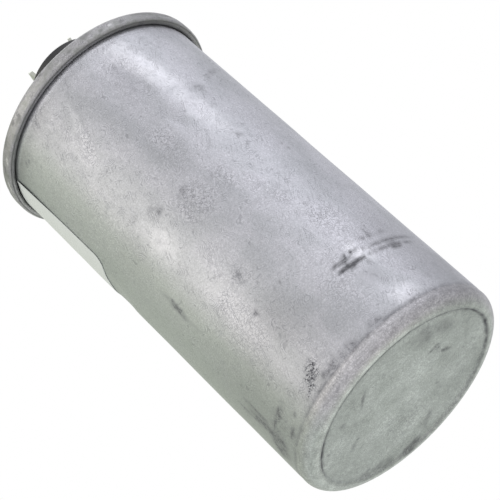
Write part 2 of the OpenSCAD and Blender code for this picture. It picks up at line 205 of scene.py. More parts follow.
SPECKLED = [(-34.0, 5.8, 1.6, 0.7, 8, 1.0), (-28.5, 7.4, 2.2, 1.7, 25, 1.0),
            (-31.5, 7.6, 0.8, 0.8, 0, 0.7), (40.5, 10.1, 1.4, 0.7, 0, 0.6),
            (28.5, 5.2, 1.1, 0.8, 0, 0.65), (34.0, 6.2, 1.0, 0.3, -12, 0.5),
            (0.0, 64.0, 3.2, 7.0, 0, 0.5), (-9.0, 50.0, 4.5, 4.5, 0, 0.55),
            (7.0, 50.0, 2.0, 3.5, 0, 0.5), (-19.0, 32.0, 2.2, 2.2, 0, 0.45),
            (-21.0, 81.0, 1.0, 6.0, -20, 0.35), (20.0, 40.0, 2.2, 3.0, 0, 0.3),
            (28.0, 31.0, 2.5, 4.0, 0, 0.3), (-36.0, 31.5, 3.0, 1.2, 20, 0.3),
            (4.0, 12.0, 4.0, 6.0, 0, 0.38), (-60.0, 9.5, 4.5, 1.0, 0, 0.8),
            (-64.0, 7.0, 5.0, 4.0, 0, 0.55), (36.0, 73.0, 1.5, 2.5, 0, 0.3),
            (-25.0, 57.0, 2.5, 1.5, 0, 0.35), (-30.0, 95.2, 2.5, 0.4, -8, 0.6),
            (21.0, 94.5, 2.0, 0.6, 0, 0.3), (165.0, 8.0, 5.0, 2.6, 0, 0.5),
            (-120.0, 60.0, 4.0, 6.0, 0, 0.3)]
# Rubbed places are brighter: some are worn metal, some are painted highlights, such as the bright side of
# a dent and a tall bright strip.
RUBBED_AND_HIGHLIGHTS = [(25.6, 18.3, 1.1, 1.0, 0, 0.95), (24.5, 20.6, 1.3, 1.0, 0, 0.5),
          (28.5, 17.5, 1.2, 1.5, 0, 0.4), (26.0, 6.0, 3.0, 2.2, 0, 0.55), (24.0, 5.2, 1.6, 1.2, 0, 0.5),
          (24.0, 84.0, 2.6, 9.0, 12, 0.7), (27.0, 68.0, 2.4, 9.0, 4, 0.5),
          (20.0, 92.0, 3.0, 3.0, 0, 0.6), (-34.0, 51.0, 2.8, 5.5, 0, 0.4),
          (-33.0, 28.0, 2.4, 20.0, 0, 0.16), (-20.0, 84.0, 0.6, 8.0, -20, 0.3),
          (140.0, 70.0, 4.0, 12.0, 4, 0.4)]
# Dents: the same, with the depth in millimetres last.
DENTS = [(8.5, 81.0, 4.6, 15.0, -10, 0.30), (15.0, 69.0, 1.8, 4.0, 0, 0.10),
         (-34.5, 51.0, 3.8, 6.0, 0, 0.12), (-22.0, 31.0, 7.0, 1.6, 16, 0.05),
         (18.5, 17.0, 4.6, 0.8, 0, 0.08), (46.0, 17.9, 7.6, 1.5, 0, 0.07),
         (-88.0, 61.5, 4.4, 4.0, 0, 0.40), (-56.0, 73.0, 5.0, 10.0, 8, 0.12),
         (27.0, 9.5, 4.5, 3.0, 0, 0.10), (-60.0, 22.0, 6.0, 9.0, 20, 0.10),
         (60.0, 60.0, 5.0, 12.0, -8, 0.12), (115.0, 34.0, 5.0, 7.0, 20, 0.22),
         (-140.0, 24.0, 6.0, 3.0, 24, 0.18), (160.0, 66.0, 6.0, 9.0, -10, 0.15)]
# Painted light and shade, as broad changes of brightness: the same, with the change last.
PAINTED_LIGHT_AND_SHADE = [(-60.0, 14.0, 9.0, 13.0, 0, -0.14), (-44.0, 18.0, 4.0, 12.0, 0, -0.05),
         (0.0, 22.0, 5.5, 14.0, 0, 0.08), (-24.0, 19.0, 5.5, 8.0, 0, -0.22),
         (-30.0, 5.5, 5.0, 4.0, 0, -0.15), (60.0, 9.0, 9.0, 9.0, 0, -0.22),
         (45.0, 22.0, 6.0, 5.0, 0, -0.12), (-62.0, 96.0, 12.0, 4.5, 0, -0.20),
         (-30.0, 94.5, 5.0, 3.0, 0, -0.16), (-28.0, 87.0, 5.0, 4.0, 0, -0.10),
         (8.0, 94.0, 5.0, 3.5, 0, 0.14), (13.0, 84.0, 3.2, 9.0, -8, -0.16),
         (30.0, 70.0, 3.0, 8.0, 0, -0.10), (-46.0, 56.0, 4.0, 5.0, 0, -0.10),
         (-12.0, 13.0, 5.0, 7.0, 0, -0.08), (-76.0, 50.0, 6.0, 30.0, 0, 0.07),
         (16.0, 69.0, 1.6, 4.0, 0, -0.10)]
# Nicks in the outside of the seam: the same, dark where the strength is plus, bright where it is minus.
NICKS = [(-14.0, 98.8, 0.5, 0.5, 0, 0.8), (-36.0, 97.6, 1.0, 0.5, 20, 0.6),
         (-40.0, 98.6, 0.8, 0.4, -15, 0.7), (-60.0, 97.4, 1.2, 0.3, 10, -0.7),
         (-66.0, 98.2, 0.9, 0.4, 0, 0.7), (-76.0, 97.2, 1.4, 0.3, 6, -0.8),
         (-52.0, 98.9, 1.6, 0.3, 0, 0.5), (-84.0, 98.4, 1.2, 0.6, 0, 0.6), (2.0, 97.6, 0.6, 0.4, 0, 0.6),
         (12.0, 98.4, 1.2, 0.5, 0, 0.5), (20.0, 97.5, 0.7, 0.5, 0, 0.6), (25.0, 98.2, 0.6, 0.4, 0, -0.7),
         (31.0, 97.6, 0.7, 0.4, 0, 0.5), (-5.0, 97.3, 0.5, 0.3, 0, -0.6),
         (45.0, 98.6, 2.0, 0.5, 0, 0.35), (60.0, 98.0, 2.4, 0.4, 4, 0.4),
         (110.0, 98.2, 1.2, 0.6, 0, 0.6), (150.0, 97.8, 1.6, 0.4, -8, -0.6),
         (-120.0, 98.4, 1.8, 0.5, 5, 0.6), (-160.0, 97.6, 1.0, 0.5, 0, 0.6)]
# On the base: x and y in mm, half length and half width in mm, turn in degrees, strength.
BASE_MARKS = [(9.6, -7.4, 1.2, 0.5, 0, 1.2), (10.6, -6.0, 0.8, 0.4, 60, 1.2),
              (11.8, -3.2, 1.4, 0.4, 55, 1.08), (7.6, 6.3, 0.45, 0.4, 0, 1.2),
              (-3.5, 20.7, 2.6, 1.3, -5, 1.08), (2.2, 16.5, 2.6, 0.8, -60, 0.47),
              (-15.0, 15.0, 1.5, 2.0, 0, 0.47), (-11.0, 17.0, 3.0, 1.2, 30, 0.47),
              (-12.5, -1.0, 0.3, 0.45, 0, 0.94), (-19.0, -4.5, 0.35, 0.6, 0, 0.81),
              (-13.8, -10.0, 0.8, 0.8, 0, 0.61), (-14.0, 0.5, 0.6, 1.6, 20, 0.47),
              (-7.8, -12.5, 0.4, 2.4, 28, 0.68), (9.0, -14.5, 2.5, 3.0, 0, 0.47),
              (13.0, -12.0, 1.6, 4.0, -30, 0.47), (6.0, -21.5, 0.6, 0.35, 0, 1.08)]
BASE_SPECKLED = [(-2.0, 8.0, 6.0, 5.0, 0, 0.6), (-3.0, -14.0, 3.0, 1.6, 0, 0.6),
                 (9.0, -5.0, 4.0, 4.0, 0, 0.4), (-13.0, -5.0, 3.0, 6.0, 0, 0.4)]


# ---------------------------------------------------------------- sizes, in millimetres

can_r, can_t = 25.4, 0.5
rim_top, corner_r, base_recess, ring_w = 99.8, 2.8, 0.4, 0.3
seam_gap, cover_t, seam_h, seam_top_r = 0.05, 0.6, 3.5, 0.85
hook_overlap, pressure_ridge, ridge_run = 1.0, 0.1, 0.6
panel_depth, groove_depth, groove_bend, groove_flat, step_bend = 3.4, 1.5, 0.8, 0.6, 0.6
terminal_y, cover_hole_r = 9.5, 4.0
label_low, label_high, label_left, label_right, label_lean = 65.0, 95.9, -240.0, -71.5, 1.5
steps_round = 320
# Where dark lines run: painted shade at the edge of the base's panel, and dirt at the top of the bend
# between base and wall.
panel_edge, bend_top = 21.95, 3.55

hook_bend = (2 * seam_gap + cover_t + can_t) / 2
wall_mid = can_r - can_t / 2
pressed_mid = wall_mid - pressure_ridge
body_hook_mid = pressed_mid + 2 * hook_bend
cover_hook_mid = pressed_mid + hook_bend
seam_wall_mid = cover_hook_mid + 2 * hook_bend
chuck_mid = pressed_mid - hook_bend
seam_bottom = rim_top - seam_h
body_hook_z = rim_top - cover_t - seam_gap - can_t / 2 - hook_bend
cover_hook_z = seam_bottom + cover_t / 2 + hook_bend
body_hook_end = cover_hook_z + seam_gap
cover_hook_end = body_hook_end + hook_overlap
seam_top_z = rim_top - cover_t / 2 - seam_top_r
panel_mid = rim_top - panel_depth - cover_t / 2
groove_r = chuck_mid - groove_bend


# ---------------------------------------------------------------- turned sheet metal

def bend(centre, radius, start, end, steps=10):
    """Middle line of a bent sheet: points with the sheet's normal."""
    side = -1 if end > start else 1
    turn = [math.radians(start + (end - start) * i / steps) for i in range(steps + 1)]
    return [(centre[0] + radius * math.cos(a), centre[1] + radius * math.sin(a),
             side * math.cos(a), side * math.sin(a)) for a in turn]


def step_down(end, high, drop, radius):
    """Two bends that take a sheet down by a drop and leave it level at radius end."""
    lean = math.degrees(math.acos(1 - drop / (2 * radius)))
    run = radius * math.sin(math.radians(lean))
    return (bend((end - 2 * run, high - radius), radius, 90, 90 - lean, 5)
            + bend((end, high - drop + radius), radius, 270 - lean, 270, 5))


def spaced(line, longest):
    """Adds points so that no stretch is longer than longest says for its radius and height."""
    out = [line[0]]
    for a, b in zip(line, line[1:]):
        length = math.hypot(b[0] - a[0], b[1] - a[1])
        parts = max(1, math.ceil(length / longest((a[0] + b[0]) / 2, (a[1] + b[1]) / 2)))
        for i in range(1, parts + 1):
            out.append(tuple(p + (q - p) * i / parts for p, q in zip(a, b)))
    return out


def sheet(line, thickness, outer, inner):
    """Closed outline of a sheet along its middle line, with a spacing for each face."""
    low = [(x - nx * thickness / 2, z - nz * thickness / 2) for x, z, nx, nz in line]
    high = [(x + nx * thickness / 2, z + nz * thickness / 2) for x, z, nx, nz in line]
    return spaced(low, outer) + spaced(high, inner)[::-1]


def turn_tree():
    """Turns an outline of points (radius, height) round the axis."""
    tree = bpy.data.node_groups.new("Turned sheet", "GeometryNodeTree")
    for name, kind in (("Outline", "Geometry"), ("Steps round", "Int"), ("Sharp edge angle", "Float"),
                       ("Finish", "Material")):
        tree.interface.new_socket(name, in_out="INPUT", socket_type="NodeSocket" + kind)
    tree.interface.new_socket("Part", in_out="OUTPUT", socket_type="NodeSocketGeometry")
    g = Bench(tree)
    given = tree.nodes.new("NodeGroupInput")
    outline, steps, sharp, coat = (Wire(g, given.outputs[i]) for i in range(4))
    rows = g.node("GeometryNodeAttributeDomainSize", {"component": "MESH"}, {0: outline})
    columns = steps + 1
    grid = g.node("GeometryNodeMeshGrid", None, {"Vertices X": rows, "Vertices Y": columns})
    index = g.node("GeometryNodeInputIndex")
    row = g.math("FLOOR", (index + 0.5) / columns)
    column = index - row * columns
    point = g.node("GeometryNodeSampleIndex", {"data_type": "FLOAT_VECTOR", "domain": "POINT"},
                   {0: outline, "Value": g.node("GeometryNodeInputPosition"), "Index": row})
    turned = g.node("ShaderNodeVectorRotate", {"rotation_type": "Z_AXIS"},
                    {"Vector": point, "Angle": column / steps * math.tau})
    lathe = g.node("GeometryNodeSetPosition", None, {0: grid, "Position": turned})
    welded = g.node("GeometryNodeMergeByDistance", None, {0: lathe, "Distance": 0.004 * MM})
    smooth = g.node("GeometryNodeSetShadeSmooth", {"domain": "FACE"}, {0: welded, "Shade Smooth": True})
    fold = g.math("GREATER_THAN", g.node("GeometryNodeInputMeshEdgeAngle"), sharp)
    creased = g.node("GeometryNodeSetShadeSmooth", {"domain": "EDGE"},
                     {0: smooth, "Selection": fold, "Shade Smooth": False})
    real = g.node("GeometryNodeRealizeInstances", None, {0: creased})
    done = g.node("GeometryNodeSetMaterial", None, {0: real, "Material": coat})
    g.end("NodeGroupOutput", done)
    return tree


TURNED = turn_tree()


def set_input(modifier, name, value):
    """Sets a modifier's input, found by its name, through the socket's identifier."""
    for item in modifier.node_group.interface.items_tree:
        if item.in_out == "INPUT" and item.name == name:
            modifier[item.identifier] = value


def made(name, data, material=None):
    """A new object in the scene, of one material."""
    piece = bpy.data.objects.new(name, data)
    bpy.context.scene.collection.objects.link(piece)
    if material:
        data.materials.clear()
        data.materials.append(material)
    return piece


def evaluated_mesh(piece):
    """The plain mesh that a piece's modifiers make."""
    return bpy.data.meshes.new_from_object(piece.evaluated_get(bpy.context.evaluated_depsgraph_get()))


def outward(mesh):
    """Turns every face outwards, judged by the volume that the faces enclose."""
    mesh.calc_loop_triangles()
    volume = sum(mesh.vertices[a].co.dot(mesh.vertices[b].co.cross(mesh.vertices[c].co))
                 for a, b, c in (tri.vertices for tri in mesh.loop_triangles))
    if volume < 0:
        mesh.flip_normals()


def turned(name, outline, material):
    """A piece of revolution from its closed outline of points (radius, height)."""
    seed = bpy.data.meshes.new(name + "_outline")
    seed.from_pydata([(r * MM, 0, z * MM) for r, z in outline], [], [])
    holder = made(name + "_outline", seed)
    modifier = holder.modifiers.new("Turned sheet", "NODES")
    modifier.node_group = TURNED
    set_input(modifier, "Steps round", steps_round)
    set_input(modifier, "Sharp edge angle", 0.7)
    set_input(modifier, "Finish", material)
    mesh = evaluated_mesh(holder)
    bpy.data.objects.remove(holder)
    mesh.name = name
    outward(mesh)
    return made(name, mesh, material)


# ---------------------------------------------------------------- dents and marks, per vertex

def span(mark, along, up):
    """How far places lie from a mark's centre, 1 being the mark's own half size."""
    half_length, half_width, slant = mark[2:5]
    c, s = math.cos(math.radians(slant)), math.sin(math.radians(slant))
    return np.hypot((along * c + up * s) / half_length, (up * c - along * s) / half_width)


def on_wall(mark, bearing, height):
    """Reach of a mark on the can's wall or the seam."""
    return span(mark, np.radians((bearing - mark[0] + 180) % 360 - 180) * can_r, height - mark[1])


def on_base(mark, x, y):
    """Reach of a mark on the base."""
    return span(mark, x - mark[0], y - mark[1])


def marked(marks, reach, a, b, soft):
    """Strength of a set of marks at places, the strongest mark counting, with soft edges."""
    total = np.zeros_like(a)
    for mark in marks:
        t = np.clip((1 + soft - reach(mark, a, b)) / (2 * soft), 0, 1)
        total = np.maximum(total, mark[5] * t * t * (3 - 2 * t))
    return total


def ripple(places, size, shift):
    """Slow noise about 0, with waves of about size millimetres."""
    return np.array([noise.noise(Vector(p) / size + Vector((shift, 0, 0))) for p in places])


def hill(value, centre, width):
    """1 at the centre, falling to 0 on both sides of it."""
    return np.exp(-((value - centre) / width) ** 2)


def ramp(value, start, end):
    """Runs straight from 0 at start to 1 at end."""
    return np.clip((value - start) / (end - start), 0, 1)


def wall_depth(bearing, height, places):
    """How far the wall stands in from the true cylinder, through dents and slight waves."""
    dents = sum(mark[5] * np.exp(-on_wall(mark, bearing, height) ** 4) for mark in DENTS)
    calm = ramp(height, seam_bottom, seam_bottom - 4) * ramp(height, 0, 3)
    tall = places * (1, 1, 0.5)
    wave = ripple(tall, 9.0, 0) + 0.5 * ripple(tall, 4.0, 5.0)
    pressed = 0.06 * hill(height, 3.75, 0.3)
    return dents * ramp(height, seam_bottom, seam_bottom - 2) + calm * (0.05 + 0.05 * wave) + pressed


class Skin:
    """A turned piece's vertices in millimetres, with their radius and bearing from the front."""

    near_axis = 1e-6

    def __init__(self, mesh):
        self.mesh = mesh
        flat = np.empty(len(mesh.vertices) * 3)
        mesh.vertices.foreach_get("co", flat)
        self.places = flat.reshape(-1, 3) / MM
        self.x, self.y, self.z = self.places.T
        self.radius = np.hypot(self.x, self.y)
        self.bearing = np.degrees(np.arctan2(self.x, -self.y))

    def wander(self, size, first, second):
        """Two slow noises, by which the edges of marks stray."""
        return np.stack([ripple(self.places, size, shift) for shift in (first, second)])

    def keep(self, name, values):
        """Keeps a value for each vertex, which a material reads by its name."""
        kept = self.mesh.attributes.new(name, "FLOAT", "POINT")
        kept.data.foreach_set("value", values.astype(np.float32))

    def push(self, out, up):
        """Moves each vertex away from the axis and up."""
        off_axis = np.maximum(self.radius, self.near_axis)
        factor = np.where(self.radius > self.near_axis, (self.radius + out) / off_axis, 1)
        moved = np.stack([self.x * factor, self.y * factor, self.z + up], axis=1) * MM
        self.mesh.vertices.foreach_set("co", moved.ravel())
        self.mesh.update()


def keep_can_marks(skin, wander, slight):
    """Scuffs, smudges, speckles and rubbed places of the wall and the base; some rubbed places are painted
    highlights.
    """
    base = (skin.z < 1.2) * (skin.radius < 22.5)
    band = (skin.z < 3.6) * (skin.radius > 22.3)
    for name, wall_marks, base_marks, soft, stray in (
            ("scuffed", SCUFFS, [], 0.45, slight), ("smudged", SMUDGES, BASE_MARKS, 0.6, wander * 0.5),
            ("speckled", SPECKLED, BASE_SPECKLED, 0.5, wander), ("rubbed", RUBBED_AND_HIGHLIGHTS, [], 0.7, wander)):
        around = skin.bearing + stray[0] * 2.2
        on_side = marked(wall_marks, on_wall, around, skin.z + stray[1], soft) * (skin.radius > 22.8)
        below = marked(base_marks, on_base, skin.x + stray[0], skin.y + stray[1], soft) * base
        everywhere = (0.3 * base + 0.25 * band) * (name == "speckled")
        skin.keep(name, np.maximum.reduce([on_side, below, everywhere]))


def edge_strength(skin):
    """How strong the line round the base's panel is, as painted shade and as a slight groove."""
    turn = np.degrees(np.arctan2(skin.y, skin.x))
    return 0.25 + 0.8 * hill(turn, -5, 36) + 0.9 * hill(turn, -160, 20) + 0.8 * hill(turn, -95, 50)


def keep_can_lines(skin, wander, slight):
    """Painted shade along the edge of the base's panel, and dirt above the bend of the wall."""
    # The painted shade round the panel lies further in on the side towards bearing -9 degrees.
    near = np.clip(np.cos(np.radians(skin.bearing + 9)), 0, 1)
    edge = hill(skin.radius + 0.6 * near - wander[0] * 0.12, panel_edge, 0.34) * (skin.z < 1.2)
    edge *= edge_strength(skin) * (0.85 + 0.6 * wander[1])
    above = skin.z - bend_top - wander[1] * 0.08
    line = ramp(above, -0.075, 0.075) * np.exp(-np.maximum(above, 0) / (0.4 + 0.25 * slight[0]))
    line *= np.clip(0.65 + 0.3 * hill(skin.bearing, 25, 30) + wander[0] * 0.5, 0, 1)
    skin.keep("creased", np.maximum(edge, line * (skin.radius > 24) * 0.8))


def keep_can_painted_light(skin, side):
    """Painted light and shade from place to place, and where a painted green reflection tints the metal.
    """
    x, y, z, radius, bearing = skin.x, skin.y, skin.z, skin.radius, skin.bearing
    on_side = radius > 24
    tone = np.ones_like(bearing)
    for mark in PAINTED_LIGHT_AND_SHADE:
        tone += mark[5] * np.exp(-on_wall(mark, bearing, z) ** 2) * side
    # Painted shade on the bend between wall and base, darkest towards bearing 45 degrees, lighter towards
    # -10.
    corner = ramp(z, 3.5, 2.9) * ramp(radius, 22.2, 22.8)
    tone -= corner * (0.02 + 0.2 * hill(bearing, 45, 30) - 0.06 * hill(bearing, -10, 22))
    # A painted bright band on the wall just under the seam, lifting its shadow.
    tone += 0.75 * hill(z, 95.8, 0.7) * hill(bearing, -8, 55) * on_side * (z < 96.3)
    # A painted highlight along the wall's bend.
    tone += 0.22 * hill(z, 3.2, 0.16) * hill(bearing, -5, 30) * on_side
    # A painted highlight round the ring of the base.
    tone += 0.25 * hill(radius, 22.9, 0.4) * hill(bearing, -20, 45) * (z < 1.2)
    # Painted shade on the base, less in its middle.
    middle = hill(np.hypot(x + 2, y + 2), 0, 15)
    tone -= (0.18 - 0.13 * middle) * (z < 1.2) * (radius < 22.5)
    skin.keep("tone", tone)
    # A painted green reflection on one side of the wall and round the base's corner.
    greened = ramp(bearing, -36, -50) * ramp(bearing, -165, -125) * side
    skin.keep("greened", np.maximum(greened, ramp(radius, 24.4, 22.8) * (z < 2)))


def shape_can(mesh):
    """Dents, waves and an uneven base, with the strength of each kind of mark and the painted light and
    shade per vertex.
    """
    skin = Skin(mesh)
    side = ramp(skin.radius, 20, 23)
    wander = skin.wander(1.6, 2.0, 8.0)
    slight = skin.wander(0.8, 4.0, 6.0) * 0.25
    keep_can_marks(skin, wander, slight)
    keep_can_lines(skin, wander, slight)
    keep_can_painted_light(skin, side)
    level = skin.places * (0.8, 1, 0)
    uneven = (ripple(level, 6.0, 3.0) + 0.6 * ripple(level, 2.6, 7.0)) * 0.13 * ramp(skin.radius, 22, 20)
    rim = 0.07 * hill(skin.radius, panel_edge, 0.3) * np.clip(edge_strength(skin), 0, 1)
    depth = wall_depth(skin.bearing, skin.z, skin.places) * side
    skin.push(-depth, (uneven + rim) * (skin.z < 1.2))


def shape_seam(mesh):
    """Slight waves and nicks in the seam, with its dark lines, painted shade and painted light per vertex.
    """
    skin = Skin(mesh)
    z, radius, bearing = skin.z, skin.radius, skin.bearing
    wander = skin.wander(1.4, 2.0, 8.0)
    outside = ramp(radius, 26.7, 27.0)
    dark = [mark for mark in NICKS if mark[5] > 0]
    bright = [(*mark[:5], -mark[5]) for mark in NICKS if mark[5] < 0]
    around, height = bearing + wander[0] * 2, z + wander[1] * 0.6
    nicks, chips = (marked(marks, on_wall, around, height, 0.5) * outside for marks in (dark, bright))
    under = ramp(z, 97.4, 96.9) * (radius > 24.8)
    # A dark line round the seam's underside.
    groove = hill(radius - wander[0] * 0.08, 26.62, 0.16) * under
    # Painted shade in the crevice between the seam and the wall, and across the underside on the side
    # towards bearing 45 degrees.
    crevice = ramp(radius - wander[1] * 0.1, 25.74, 25.62) * under
    ridge = 0.75 * hill(bearing, 45, 45) * ramp(radius, 26.75, 26.55) * under
    # Darker in the cover's groove.
    corner = hill(radius, 22.9, 0.9) * (z < 96.0) * 0.4
    skin.keep("grimed", np.maximum.reduce([groove, crevice, ridge, corner, nicks * 0.75]))
    skin.keep("chipped", chips)
    # Painted light and shade round the seam's outside: darker towards bearings 45 and -62 degrees, lighter
    # towards -100.
    tone = 1 - 0.22 * hill(bearing, 45, 30) - 0.1 * hill(bearing, -62, 16) + 0.2 * hill(bearing, -100, 14)
    skin.keep("tone", np.where(radius > 26.4, tone, 1.0))
    wave = 0.03 * ripple(skin.places, 3.0, 1.0) - 0.02 - 0.08 * nicks - 0.05 * chips
    skin.push(np.minimum(wave, 0) * outside, 0)


# ---------------------------------------------------------------- finishes

def unrolled(t, place):
    """The can's surface laid flat: millimetres round from the front, and height."""
    x, y, z = (t.part(place, axis) for axis in range(3))
    bearing = t.math("ARCTAN2", x, y * -1)
    return t.node("ShaderNodeCombineXYZ", None, {0: bearing * can_r, 1: z, 2: 0.0})


def scratches(t, place, size, turn, shift):
    """Thin broken lines that run along one direction."""
    laid = t.node("ShaderNodeMapping", None,
                  {0: place, "Rotation": turn, "Location": (shift, shift, shift)})
    warped = t.vector("ADD", laid, t.scaled(t.grain(laid, size * 2, 1.0, out="Color"), size * 0.4))
    drawn = t.node("ShaderNodeMapping", None, {0: warped, "Scale": (1 / size, 1 / (size * 14), 1 / size)})
    lines = t.node("ShaderNodeTexVoronoi", {"feature": "DISTANCE_TO_EDGE"},
                   {"Vector": drawn, "Scale": 1.0})
    gate = t.fade(t.grain(place, size * 3, 1.0, shift=shift + 5), 0.5, 0.62)
    return t.fade(lines, 0.03, 0.0) * gate


def bare_can(t):
    """Drawn aluminium: clouds and fine crinkles, then the kept marks and the painted light and shade over
    them.
    """
    place = t.millimetres()
    flat = unrolled(t, place)
    x, y, z = (t.part(place, axis) for axis in range(3))
    radius = t.math("SQRT", x * x + y * y)
    panel = t.fade(radius, 22.4, 21.6) * t.fade(z, 1.0, 0.7)
    laid = t.mix(t.fade(radius, 23.5, 22.5), flat, place)
    drawn = t.grain(flat, 0.45, 3.0, 0.6, (1, 9, 1))
    cloud = t.grain(place, 8.0, 3.0, 0.6, (1, 1, 1.7), 3)
    fine = t.grain(place, 0.3, 3.0, 0.7, (1, 1, 1), 7)
    worn = t.grain(place, 2.1, 5.0, 0.68, (1, 1, 1), 19)
    field = t.kept("speckled")

    tint = t.mix(t.fade(cloud, 0.38, 0.62), paint(171, 172, 177), paint(184, 184, 190))
    warm = t.fade(z, 3.7, 3.3) * (1 - panel)
    tint = t.mix(warm * 0.3, tint, paint(182, 177, 177))
    # The painted green reflection, kept per vertex.
    tint = t.mix(t.kept("greened") * 0.75, tint, paint(173, 179, 175))
    low = t.fade(z, 3.8, 3.2)
    folds = t.grain(flat, 0.55, 3.0, 0.65, (4, 1, 1), 11) - 0.48
    light = (0.32 + fine * 1.04 + (fine - 0.48) * low * 0.5 + worn * 0.32 + drawn * 0.14
             + folds * low * (1 - panel) * 0.9 + (cloud - 0.5) * (panel * 0.9 + 0.1))
    # The tone kept per vertex is painted light and shade.
    colour = t.scaled(tint, light * t.kept("tone"))

    patch = t.clip(t.fade(cloud, 0.42, 0.62) * 0.42 + field * 1.2)
    worm = t.math("ABSOLUTE", t.grain(place, 0.85, 2.0, 0.6, (1, 1, 1), 17) - 0.5)
    crinkle = t.fade(worm, 0.06, 0.012) * t.fade(fine, 0.40, 0.54) * patch
    swirl = t.math("SINE", t.grain(place, 4.0, 1.0, 0.4, (1, 1, 1), 41) * 140)
    finger = t.fade(swirl, 0.0, 0.9) * t.fade(worn, 0.5, 0.6)
    streak = t.grain(flat, 0.3, 3.0, 0.65, (5, 1, 1))
    scuff = t.clip(t.kept("scuffed") * (0.95 + (streak - 0.4) * 3.0))
    smudge = t.clip(t.kept("smudged") * (0.45 + (worn - 0.45) * 3.0 + (fine - 0.45) * 3.6))
    speck = t.grain(place, 0.42, 3.0, 0.6, (1, 1, 1), 23) + field * 0.16
    specks = t.fade(speck, 0.66, 0.74) * t.fade(field, 0.5, 0.8)
    rubbed = t.kept("rubbed") * t.fade(worn, 0.2, 0.6)
    lines = scratches(t, laid, 1.1, (0, 0, 0.5), 2.0)
    # Painted shade on the wall just under the seam.
    under_seam_shade = t.fade(z, 95.95, 96.25)
    # The kept crease is painted shade round the base's panel, and dirt above the wall's bend.
    creased = t.kept("creased")

    # Dirt and painted shade together: the marks, the painted shade round the base's panel and under the
    # seam, and the dirt above the wall's bend.
    dirt_and_shade = t.most(t.most(scuff, smudge * 0.85), t.most(specks, creased * t.fade(worn, 0.2, 0.5)))
    dirt_and_shade = t.most(dirt_and_shade, under_seam_shade * 0.3)
    grime = t.most(crinkle * 0.6, finger * 0.3)
    # Rubbed places brighten the metal: worn spots, and painted highlights.
    colour = t.mix(t.clip(rubbed * 0.8), colour, paint(226, 226, 231))
    colour = t.mix(t.most(lines * 0.2, grime), colour, paint(92, 92, 98))
    colour = t.mix(t.clip(dirt_and_shade * 0.85), colour, paint(62, 62, 68))
    relief = (fine * 0.5 + drawn * 0.2 + worn * 0.6 - lines * 0.5 - dirt_and_shade * 0.4 - crinkle * 1.1
              - finger * 0.4 + folds * low * (1 - panel) * 0.8)
    return {"Base Color": colour, "Metallic": 1 - dirt_and_shade * 0.55,
            "Roughness": 0.4 + worn * 0.14 + dirt_and_shade * 0.2 - rubbed * 0.1,
            "Normal": t.bump(relief, 0.05, 0.9)}


def seam_metal(t):
    """Rolled seam: lines round its outside, brushed elsewhere, with dirt, painted light and shade, and
    bright chips.
    """
    place = t.millimetres()
    flat = unrolled(t, place)
    x, y = (t.part(place, axis) for axis in range(2))
    radius = t.math("SQRT", x * x + y * y)
    fine = t.grain(place, 0.3, 3.0, 0.7)
    worn = t.grain(place, 2.0, 5.0, 0.65, (1, 1, 1), 13)
    rolled = t.grain(flat, 0.35, 3.0, 0.6, (9, 1, 1))
    brushed = t.grain(place, 0.5, 2.0, 0.6, (9, 1, 1), 4)
    outside = t.fade(radius, 26.0, 26.5)
    tint = t.mix(t.fade(worn, 0.35, 0.65), paint(146, 147, 146), paint(168, 167, 170))
    light = 0.43 + fine * 0.75 + worn * 0.3 + (rolled * outside + brushed * (1 - outside)) * 0.26
    # The tone kept per vertex is painted light and shade.
    colour = t.scaled(tint, light * t.kept("tone"))
    worm = t.math("ABSOLUTE", t.grain(place, 0.8, 2.0, 0.6, (1, 1, 1), 17) - 0.5)
    crinkle = t.fade(worm, 0.06, 0.012) * t.fade(worn, 0.48, 0.62)
    # Dirt and painted shade, kept per vertex.
    dirt_and_shade = t.clip(t.kept("grimed") * (0.8 + (worn - 0.5) * 1.4 + (fine - 0.5)))
    chip = t.kept("chipped") * t.fade(fine, 0.35, 0.5)
    colour = t.mix(crinkle * 0.45, colour, paint(86, 87, 90))
    colour = t.mix(t.clip(dirt_and_shade * 0.92), colour, paint(50, 52, 51))
    colour = t.mix(t.clip(chip), colour, paint(226, 226, 228))
    relief = fine * 0.5 + rolled * outside * 0.3 + worn * 0.5 - crinkle * 0.9 - dirt_and_shade * 0.4
    return {"Base Color": colour, "Metallic": 1 - dirt_and_shade * 0.5,
            "Roughness": 0.4 + worn * 0.14 + dirt_and_shade * 0.2, "Normal": t.bump(relief, 0.045, 0.9)}


def simple(name, colour, mottle=0.1, size=1.5, rough=0.5, spread=0.1, metal=0.0, relief=0.01,
           stretch=(1, 1, 1)):
    """A simple piece's finish: blotches of a size, fine grain, a spread of roughness, and relief."""
    def plan(t):
        place = t.millimetres()
        coarse = t.grain(place, size, 3.0, 0.6, stretch)
        fine = t.grain(place, size / 5, 2.0, 0.6, stretch, 9)
        light = 1 - mottle / 2 + (coarse - 0.5) * mottle * 1.5 + (fine - 0.5) * mottle
        return {"Base Color": t.scaled(paint(*colour), light), "Metallic": metal,
                "Roughness": rough + (coarse - 0.5) * spread + (fine - 0.5) * spread,
                "Normal": t.bump(coarse * 0.4 + fine * 0.6, relief)}
    return finish(name, plan)


